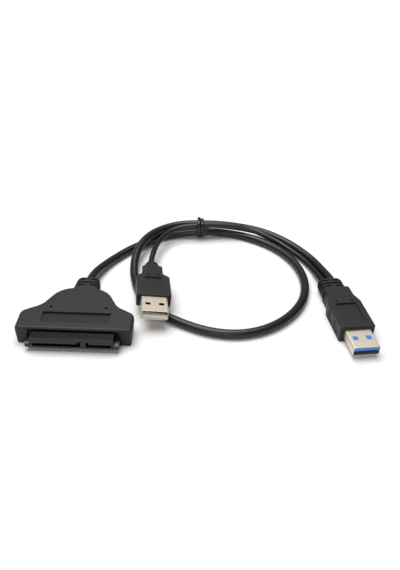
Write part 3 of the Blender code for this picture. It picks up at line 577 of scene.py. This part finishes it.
socket = {
    "tip": -23.75, "width": 35.7, "bottom": 2.2, "height": 5.1, "depth": 9.0,
    "softEdge": 0.16, "cutterLead": 1.0,
    "armSpan": 40.4, "armWidth": 2.1, "armHeight": 2.5,
    "armNose": ((-0.2, 0.5), (0.7, 0.0)),       # (distance from the tip, how much the arm tapers there)
    "armRoot": 0.5, "sideTaper": 0.6, "floorTaper": 0.4,
    "flangeFront": -17.85, "flangeDepth": 3.4, "flange": (1.8, 7.3),
    "slotHalf": 16.8, "slotBottom": 2.95, "slotHeight": 1.4, "slotDepth": 6.4,
    "ribX": 4.85, "ribWidth": 2.4, "keyWidth": 1.15, "keyRise": 1.1,
    "pitch": 1.27, "powerFirst": -15.6, "signalFirst": 8.1,
}


def buildSocket():
    tip, bottom, tall = socket["tip"], socket["bottom"], socket["height"]
    block = addBox(bmesh.new(), (socket["width"], socket["depth"], tall),
                   (0.0, tip + socket["depth"] / 2, bottom + tall / 2))
    piece = meshObject("sataSocket", block)
    low, high = socket["flange"]
    flangeBox = addBox(bmesh.new(), (socket["armSpan"], socket["flangeDepth"], high - low),
                       (0.0, socket["flangeFront"] + socket["flangeDepth"] / 2, (low + high) / 2))
    carve(piece, "UNION", flangeBox)
    for side in (-1, 1):
        x = side * (socket["armSpan"] - socket["armWidth"]) / 2
        half = socket["armWidth"] / 2
        rise = socket["armHeight"]
        stations = [(tip + back, inward) for back, inward in socket["armNose"]]
        stations.append((socket["flangeFront"] + socket["armRoot"], 0.0))
        rings = []
        for y, inward in stations:
            outer, inner = x + side * half - side * inward * socket["sideTaper"], x - side * half
            low, high = bottom + inward * socket["floorTaper"], bottom + rise - inward
            rings.append([(inner, y, low), (outer, y, low), (outer, y, high), (inner, y, high)])
        carve(piece, "UNION", addLoft(bmesh.new(), rings))
    ribLow, ribHigh = socket["ribX"] - socket["ribWidth"] / 2, socket["ribX"] + socket["ribWidth"] / 2
    middle = socket["slotBottom"] + socket["slotHeight"] / 2
    lead = socket["cutterLead"]
    reach = socket["slotDepth"] + lead
    deep = tip - lead + reach / 2
    for lowX, highX, keyX in ((-socket["slotHalf"], ribLow, ribLow - socket["keyWidth"] / 2),
                              (ribHigh, socket["slotHalf"], ribHigh + socket["keyWidth"] / 2)):
        slot = addBox(bmesh.new(), (highX - lowX, reach, socket["slotHeight"]),
                      ((lowX + highX) / 2, deep, middle))
        carve(piece, "DIFFERENCE", slot)
        keyHeight = socket["keyRise"] + socket["slotHeight"] / 2
        key = addBox(bmesh.new(), (socket["keyWidth"], reach, keyHeight),
                     (keyX, deep, middle + keyHeight / 2))
        carve(piece, "DIFFERENCE", key)
    softenEdges(piece, socket["softEdge"] * mm)
    return finish(piece, socketPlastic, "socket_plastic", "sata_connector_body")


def rowTree():
    # Geometry Nodes: repeats a piece along a line, for every row of contacts
    tree = bpy.data.node_groups.new("contactRow", "GeometryNodeTree")
    sockets = {}
    for name, kind in (("Contact", "NodeSocketGeometry"), ("Count", "NodeSocketInt"),
                       ("First", "NodeSocketVector"), ("Step", "NodeSocketVector"),
                       ("Finish", "NodeSocketMaterial")):
        sockets[name] = tree.interface.new_socket(name, in_out="INPUT", socket_type=kind).identifier
    tree.interface.new_socket("Row", in_out="OUTPUT", socket_type="NodeSocketGeometry")
    given = addNode(tree, "NodeGroupInput")
    line = addNode(tree, "GeometryNodeMeshLine", {"Count": given.outputs["Count"],
                                                  "Start Location": given.outputs["First"],
                                                  "Offset": given.outputs["Step"]}, mode="OFFSET")
    row = addNode(tree, "GeometryNodeInstanceOnPoints", {"Points": line.outputs["Mesh"],
                                                         "Instance": given.outputs["Contact"]})
    whole = addNode(tree, "GeometryNodeRealizeInstances", {"Geometry": row.outputs["Instances"]})
    painted = addNode(tree, "GeometryNodeSetMaterial", {"Geometry": whole.outputs["Geometry"],
                                                        "Material": given.outputs["Finish"]})
    addNode(tree, "NodeGroupOutput", {"Row": painted.outputs["Geometry"]})
    return tree, sockets


contactRow, rowSockets = rowTree()


def repeatInRow(piece, count, first, step, material, place=None):
    modifier = piece.modifiers.new("row", "NODES")
    modifier.node_group = contactRow
    modifier[rowSockets["Count"]] = count
    modifier[rowSockets["First"]] = Vector(first) * mm
    modifier[rowSockets["Step"]] = Vector(step) * mm
    modifier[rowSockets["Finish"]] = material
    bakeModifiers(piece)
    if place:
        piece.data.transform(place)
    piece.data.shade_smooth()
    piece.data.set_sharp_from_angle(angle=math.radians(40))
    return piece


def bentStrip(name, profile, width, thickness):
    # sheet strip bent along a (y, z) path, with slightly eased edges
    rings = []
    for index, (y, z) in enumerate(profile):
        before = np.array(profile[max(index - 1, 0)])
        after = np.array(profile[min(index + 1, len(profile) - 1)])
        along = (after - before) / np.linalg.norm(after - before)
        lift = np.array((-along[1], along[0])) * thickness / 2
        half, ease = width / 2, 0.25 * thickness
        rings.append([(-half + ease, y - lift[0], z - lift[1]), (half - ease, y - lift[0], z - lift[1]),
                      (half, y, z), (half - ease, y + lift[0], z + lift[1]),
                      (-half + ease, y + lift[0], z + lift[1]), (-half, y, z)])
    return meshObject(name, addLoft(bmesh.new(), rings))


sataContact = {
    "width": 0.6, "thickness": 0.22,        # the bends are (y, drop from the slot's top)
    "bends": [(-22.4, 0.15), (-22.1, 0.42), (-21.6, 0.55), (-21.0, 0.5),
              (-19.6, 0.32), (-17.5, 0.28), (-14.0, 0.28), (-10.6, 0.28)],
}


def buildSataContacts():
    top = socket["slotBottom"] + socket["slotHeight"]
    profile = [(y, top - drop) for y, drop in sataContact["bends"]]
    for group, count, first in (("power", 15, socket["powerFirst"]), ("signal", 7, socket["signalFirst"])):
        row = bentStrip(f"sata{group.capitalize()}Contacts", profile, sataContact["width"],
                        sataContact["thickness"])
        repeatInRow(row, count, (first, 0, 0), (socket["pitch"], 0, 0), gold)
        names = [f"sata_{group}_contact_{index + 1:02d}" for index in range(count)]
        finish(row, gold, "gold_plate", *names)


# each USB plug is built in its own frame, tip towards -Y, then set in place
usb3Turn = Matrix.Rotation(math.radians(8.7), 4, "Z")
usb3Place = Matrix.Translation(Vector((124.5, -9.24, 4.0)) * mm) @ usb3Turn
usb2Turn = Euler((math.radians(-3.4), math.radians(6.6), math.radians(6.0))).to_matrix().to_4x4()
usb2Place = Matrix.Translation(Vector((32.95, 5.1, 7.9)) * mm) @ usb2Turn
shell = {
    "width": 12.0, "height": 4.5, "wall": 0.3, "tip": -12.1, "rear": 5.0, "corner": 0.62,
    "windowWidth": 2.35, "windowX": 3.05, "softEdge": 0.06,
    "outerLip": ((0.02, 0.985), (0.12, 0.997), (0.4, 1.0)),     # (distance from the tip, scale)
    "innerLip": (0.02, 1.01), "lipDepth": 0.25,
    "tongueGap": 0.04, "tonguePlay": 0.1, "tongueThick": 1.84, "tongueSetback": 0.35,
    "tongueRoot": 5.6, "tongueSoftEdge": 0.12,
}
usbContact = {"width": 1.0, "thickness": 0.14, "seat": 0.09, "noseLength": 0.3, "noseDrop": 0.04}
usb3Row = {"count": 4, "first": -3.5, "pitch": 2.333, "front": -10.1, "length": 5.0, "lift": 0.0}
usb3RearRow = {"count": 5, "first": -4.0, "pitch": 2.0, "front": -4.5, "length": 2.0, "lift": 0.3}
usb2Row = {"count": 4, "first": -3.5, "pitch": 2.333, "front": -10.2, "length": 3.0, "lift": 0.0}
gripDetail = {
    "pipRadius": 0.6, "pipDepth": 1.3, "pipGap": 2.1, "padDepth": 0.25, "padHeight": 4.6,
    "shellGap": 0.06, "boreReach": (-2.0, 6.5), "entryLength": 10.0, "softEdge": 0.16,
}
usb3Grip = {
    "height": 8.0, "edge": 0.5, "shellWindow": (-6.9, -4.3),
    "outline": [(8.0, 0.0, 0.6, 5), (8.0, 19.6, 1.6, 8), (6.3, 24.6, 1.5, 8), (6.2, 31.8, 1.6, 8)],
    "window": (4.9, 4.4, 18.0, 0.8, 0.35), "pips": (-3.6, 3.8), "pads": ((2.8, 8.4), (10.4, 16.0)),
    "reliefX": -0.6, "entries": ((1.32, 2.12), (-2.95, 1.47)), "entryY": 40.2,
    "relief": {
        "sleeve": [(30.0, 6.2, 3.5, 2.6), (36.0, 6.1, 3.4, 2.6), (39.6, 5.8, 3.2, 2.5),
                   (40.3, 5.4, 2.9, 2.3), (40.6, 4.8, 2.6, 2.1)],
        "grooves": [(33.4, 6.15, 3.44, True), (35.7, 6.1, 3.4, False), (38.0, 5.93, 3.3, True)],
        "bridge": 2.4,
    },
}
usb2Grip = {
    "height": 6.7, "edge": 0.5, "shellWindow": (-6.9, -4.9),
    "outline": [(7.95, 0.0, 0.6, 5), (7.95, 17.2, 1.4, 8), (4.9, 19.9, 0.8, 8), (4.9, 27.6, 1.4, 8)],
    "window": (4.0, 5.0, 16.4, 0.7, 0.25), "pips": (-2.3, 2.6), "pads": (),
    "reliefX": 0.0, "entries": ((0.0, 1.47),), "entryY": 33.4,
    "relief": {
        "sleeve": [(26.0, 3.5, 3.0, 2.2), (31.2, 3.4, 2.9, 2.2), (32.6, 3.0, 2.7, 2.2),
                   (33.4, 2.5, 2.3, 1.9), (33.7, 2.1, 2.0, 1.6)],
        "grooves": [(30.7, 3.5, 3.0, True)],
        "bridge": 1.5,
    },
}


def buildGrip(name, look, place, node):
    outline = roundedOutline(mirrored(look["outline"]))
    half = look["height"] / 2
    piece = meshObject(name, slab(outline, edgeLevels(-half, half, look["edge"], look["edge"], 6)))
    ringedRelief(piece, look["relief"], (look["reliefX"], 0.0))
    carve(piece, "DIFFERENCE", labelWedge(*look["window"], half))
    pips = bmesh.new()
    for x in look["pips"]:
        addRod(pips, gripDetail["pipRadius"], 2 * gripDetail["pipDepth"],
               (x, look["window"][2] + gripDetail["pipGap"], half))
    carve(piece, "DIFFERENCE", pips)
    side = look["outline"][0][0]
    for low, high in look["pads"]:
        pads = bmesh.new()
        for x in (-side, side):
            addBox(pads, (2 * gripDetail["padDepth"], high - low, gripDetail["padHeight"]),
                   (x, (low + high) / 2, 0.0))
        carve(piece, "DIFFERENCE", pads)
    gap = gripDetail["shellGap"]
    bore = roundedSection(shell["width"] / 2 + gap, shell["height"] / 2 + gap, shell["corner"] + 0.05, 5)
    rings = [[(x, y, z) for x, z in bore] for y in gripDetail["boreReach"]]
    carve(piece, "DIFFERENCE", addLoft(bmesh.new(), rings))
    for x, radius in look["entries"]:
        entry = addRod(bmesh.new(), radius, gripDetail["entryLength"], (x, look["entryY"], 0.0), "Y", 40)
        carve(piece, "DIFFERENCE", entry)
    softenEdges(piece, gripDetail["softEdge"] * mm)
    piece.data.transform(place)
    return finish(piece, pvc, "moulded_pvc", node)


def buildShell(name, look, place, node):
    outer = roundedSection(shell["width"] / 2, shell["height"] / 2, shell["corner"], 6)
    inner = roundedSection(shell["width"] / 2 - shell["wall"], shell["height"] / 2 - shell["wall"],
                           shell["corner"] - shell["wall"] * 0.8, 6)
    tip, rear = shell["tip"], shell["rear"]
    stations = [(tip + back, scale) for back, scale in shell["outerLip"]] + [(rear, 1.0)]
    rings = [[(x * scale, y, z * scale) for x, z in outer] for y, scale in stations]
    rings += [[(x, y, z) for x, z in inner] for y in (rear, tip + shell["lipDepth"])]
    back, scale = shell["innerLip"]
    rings.append([(x * scale, tip + back, z * scale) for x, z in inner])
    piece = meshObject(name, addLoft(bmesh.new(), rings, closed=True))
    windows = bmesh.new()
    front, back = look["shellWindow"]
    for side in (-1, 1):
        addBox(windows, (shell["windowWidth"], back - front, 2 * shell["height"]),
               (side * shell["windowX"], (front + back) / 2, 0.0))
    carve(piece, "DIFFERENCE", windows)
    softenEdges(piece, shell["softEdge"] * mm, 2)
    piece.data.transform(place)
    return finish(piece, nickel, "nickel_shell", node)


def buildTongue(name, side, material, slot, place, node):
    inner = shell["height"] / 2 - shell["wall"] - shell["tongueGap"]
    width = shell["width"] - 2 * shell["wall"] - shell["tonguePlay"]
    front, rear, thick = shell["tip"] + shell["tongueSetback"], shell["rear"], shell["tongueThick"]
    piece = meshObject(name, addBox(bmesh.new(), (width, rear - front, thick),
                                    (0.0, (front + rear) / 2, side * (inner - thick / 2))))
    root = shell["tongueRoot"]
    carve(piece, "UNION", addBox(bmesh.new(), (width, root, 2 * inner), (0.0, rear - root / 2, 0.0)))
    softenEdges(piece, shell["tongueSoftEdge"] * mm)
    piece.data.transform(place)
    return finish(piece, material, slot, node)


def buildUsbContacts(name, side, row, place, node):
    face = side * (shell["height"] / 2 - shell["wall"] - shell["tongueGap"] - shell["tongueThick"])
    z = face - side * (usbContact["seat"] + row["lift"])
    seated = z - side * usbContact["noseDrop"]
    profile = [(row["front"], z), (row["front"] + usbContact["noseLength"], seated),
               (row["front"] + row["length"], seated)]
    piece = bentStrip(name, profile, usbContact["width"], usbContact["thickness"])
    repeatInRow(piece, row["count"], (row["first"], 0, 0), (row["pitch"], 0, 0), gold, place)
    names = [f"{node}_{index + 1}" for index in range(row["count"])]
    return finish(piece, gold, "gold_plate", *names)


buildCamera()
mainPath = smoothCurve(mainRoute, cordSetup["step"])
powerPath = smoothCurve(powerRoute, cordSetup["step"])
mainCord = sweepTube("mainCord", mainPath, cordSetup["mainDiameter"] / 2, cordSetup["mainSides"])
powerCord = sweepTube("powerCord", powerPath, cordSetup["powerDiameter"] / 2, cordSetup["powerSides"])
finish(mainCord, jacket, "cord_pvc", "main_cable")
finish(powerCord, jacket, "cord_pvc", "power_cable")
print("cords laid")

buildHousing()
buildSocket()
buildSataContacts()
print("head built")

usb3Pieces = [
    buildGrip("usb3Grip", usb3Grip, usb3Place, "usb3_overmould"),
    buildShell("usb3Shell", usb3Grip, usb3Place, "usb3_shell"),
    buildTongue("usb3Tongue", 1, bluePlastic, "blue_insulator", usb3Place, "usb3_tongue"),
    buildUsbContacts("usb3Contacts", 1, usb3Row, usb3Place, "usb3_contact"),
    buildUsbContacts("usb3RearContacts", 1, usb3RearRow, usb3Place, "usb3_rear_contact"),
]
usb2Pieces = [
    buildGrip("usb2Grip", usb2Grip, usb2Place, "usb2_overmould"),
    buildShell("usb2Shell", usb2Grip, usb2Place, "usb2_shell"),
    buildTongue("usb2Tongue", -1, whitePlastic, "white_insulator", usb2Place, "usb2_tongue"),
    buildUsbContacts("usb2Contacts", -1, usb2Row, usb2Place, "usb2_contact"),
]
print("plugs built")

tie = {
    "middle": 53.5, "clearance": 0.2, "halfThickness": 0.45, "halfWidth": 0.9, "spacing": 1.78,
    "knuckle": 0.6, "knuckleWay": (0.35, 0.94), "turnSteps": 120, "wireSteps": 16,
}


def cordCrossings(x):
    # (y, z, radius) in millimetres where each cord run passes the plane at x on the loop's far side
    found = []
    for path, diameter in ((mainPath, cordSetup["mainDiameter"]), (powerPath, cordSetup["powerDiameter"])):
        for near, far in zip(path, path[1:]):
            if (near.x / mm - x) * (far.x / mm - x) < 0 and near.y > 60 * mm:
                at = near.lerp(far, (x * mm - near.x) / (far.x - near.x)) / mm
                found.append((at.y, at.z, diameter / mm / 2))
    return found


def buildTie():
    # two turns of round coated wire pulled tight over the cord runs;
    # the first stands proud where its end is tucked in
    bm = bmesh.new()
    for turn in (-0.5, 0.5):
        x = tie["middle"] + turn * tie["spacing"]
        circles = cordCrossings(x)
        rings = []
        for step in range(tie["turnSteps"]):
            way = math.tau * step / tie["turnSteps"]
            outward = Vector((math.cos(way), math.sin(way)))
            y, z, radius = max(circles, key=lambda circle: outward.dot(Vector(circle[:2])) + circle[2])
            reach = radius + tie["clearance"] + tie["halfThickness"]
            if turn < 0:
                reach += tie["knuckle"] * max(0.0, outward.dot(Vector(tie["knuckleWay"]))) ** 8
            ring = []
            for k in range(tie["wireSteps"]):
                angle = math.tau * k / tie["wireSteps"]
                out = reach + tie["halfThickness"] * math.sin(angle)
                ring.append((x + tie["halfWidth"] * math.cos(angle),
                             y + out * outward.x, z + out * outward.y))
            rings.append(ring)
        addLoft(bm, rings, closed=True)
    return finish(meshObject("cableTie", bm, 60.0), tiePlastic, "tie_plastic", "cable_tie")


cableTie = buildTie()
print("tie wrapped")

# solids that stay as the frame made them get their finish here
kept = {
    "circuit_board": laminate, "bridge_chip": epoxy, "inductor": epoxy, "regulator": epoxy,
    "crystal": tin, "resistor": epoxy, "capacitor": ceramic, "conductors": insulation,
}
for nodeName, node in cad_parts.items():
    for word, material in kept.items():
        if word in nodeName:
            for slotIndex in range(len(node.material_slots)):
                node.material_slots[slotIndex].material = material


# a white card, a broad soft light overhead and a little behind, and a weak one from the front;
# places are in metres
studio = {
    "floorSize": 3.0,
    "floorGrey": 0.6,           # what the card is to diffuse light
    "floorMirrored": 0.85,      # to glossy and transmitted rays
    "floorSeen": 1.0,           # to the camera, near the object
    "floorFar": 9.0,            # to the camera, far away, where less light reaches it
    "nearEdge": 0.2, "farEdge": 1.4,
    "worldStrength": 0.12, "worldMirrored": 0.25, "worldSeen": 1.0,
    "keyPower": 8.8, "keySize": 0.9, "keyPlace": (-0.09, 0.18, 0.85),
    "fillPower": 2.6, "fillSize": 0.9, "fillPlace": (-0.05, -0.95, 0.55),
    "lightShape": 0.8, "aim": (0.06, 0.03, 0.0),
}


def splitByRay(tree, seen, mirrored, lit):
    # one value for the camera, one for glossy and transmitted rays, one for every other ray
    path = addNode(tree, "ShaderNodeLightPath")
    mirrors = addNode(tree, "ShaderNodeMath", {0: path.outputs["Is Glossy Ray"],
                                               1: path.outputs["Is Transmission Ray"]}, operation="MAXIMUM")
    others = addNode(tree, "ShaderNodeMapRange", {"Value": mirrors.outputs[0], "To Min": lit,
                                                  "To Max": mirrored})
    split = addNode(tree, "ShaderNodeMapRange", {"Value": path.outputs["Is Camera Ray"],
                                                 "To Min": others.outputs["Result"], "To Max": seen})
    return split.outputs["Result"]


def whiteCard(name):
    # matte card; the camera sees it overexposed, so only its deeper shadows show
    material, tree, shader = newMaterial(name)
    place = addNode(tree, "ShaderNodeTexCoord").outputs["Object"]
    away = addNode(tree, "ShaderNodeVectorMath", {0: place}, operation="LENGTH")
    exposed = addNode(tree, "ShaderNodeMapRange", {"Value": away.outputs["Value"],
                                                   "From Min": studio["nearEdge"],
                                                   "From Max": studio["farEdge"],
                                                   "To Min": studio["floorSeen"],
                                                   "To Max": studio["floorFar"]})
    grey = splitByRay(tree, exposed.outputs["Result"], studio["floorMirrored"], studio["floorGrey"])
    matte = addNode(tree, "ShaderNodeBsdfDiffuse", {"Color": grey})
    tree.links.new(matte.outputs["BSDF"], tree.nodes["Material Output"].inputs["Surface"])
    tree.nodes.remove(shader)
    return material


def softLight(name, power, size, place):
    data = bpy.data.lights.new(name, "AREA")
    data.shape = "RECTANGLE"
    data.size = size
    data.size_y = size * studio["lightShape"]
    data.energy = power
    light = bpy.data.objects.new(name, data)
    scene.collection.objects.link(light)
    aim = (Vector(studio["aim"]) - Vector(place)).to_track_quat("-Z", "Y")
    light.matrix_world = Matrix.Translation(Vector(place)) @ aim.to_matrix().to_4x4()


def buildStudio():
    bm = bmesh.new()
    bmesh.ops.create_grid(bm, x_segments=1, y_segments=1, size=studio["floorSize"] / 2)
    floor = meshObject("floor", bm)
    floor.data.materials.append(whiteCard("matteWhiteCard"))
    world = bpy.data.worlds.new("studio")
    world.use_nodes = True
    scene.world = world
    background = world.node_tree.nodes["Background"]
    background.inputs["Color"].default_value = (1.0, 1.0, 1.0, 1.0)
    strength = splitByRay(world.node_tree, studio["worldSeen"], studio["worldMirrored"],
                          studio["worldStrength"])
    world.node_tree.links.new(strength, background.inputs["Strength"])
    softLight("keyLight", studio["keyPower"], studio["keySize"], studio["keyPlace"])
    softLight("fillLight", studio["fillPower"], studio["fillSize"], studio["fillPlace"])
    print("studio lit")


buildStudio()
scene.view_settings.view_transform = "Standard"
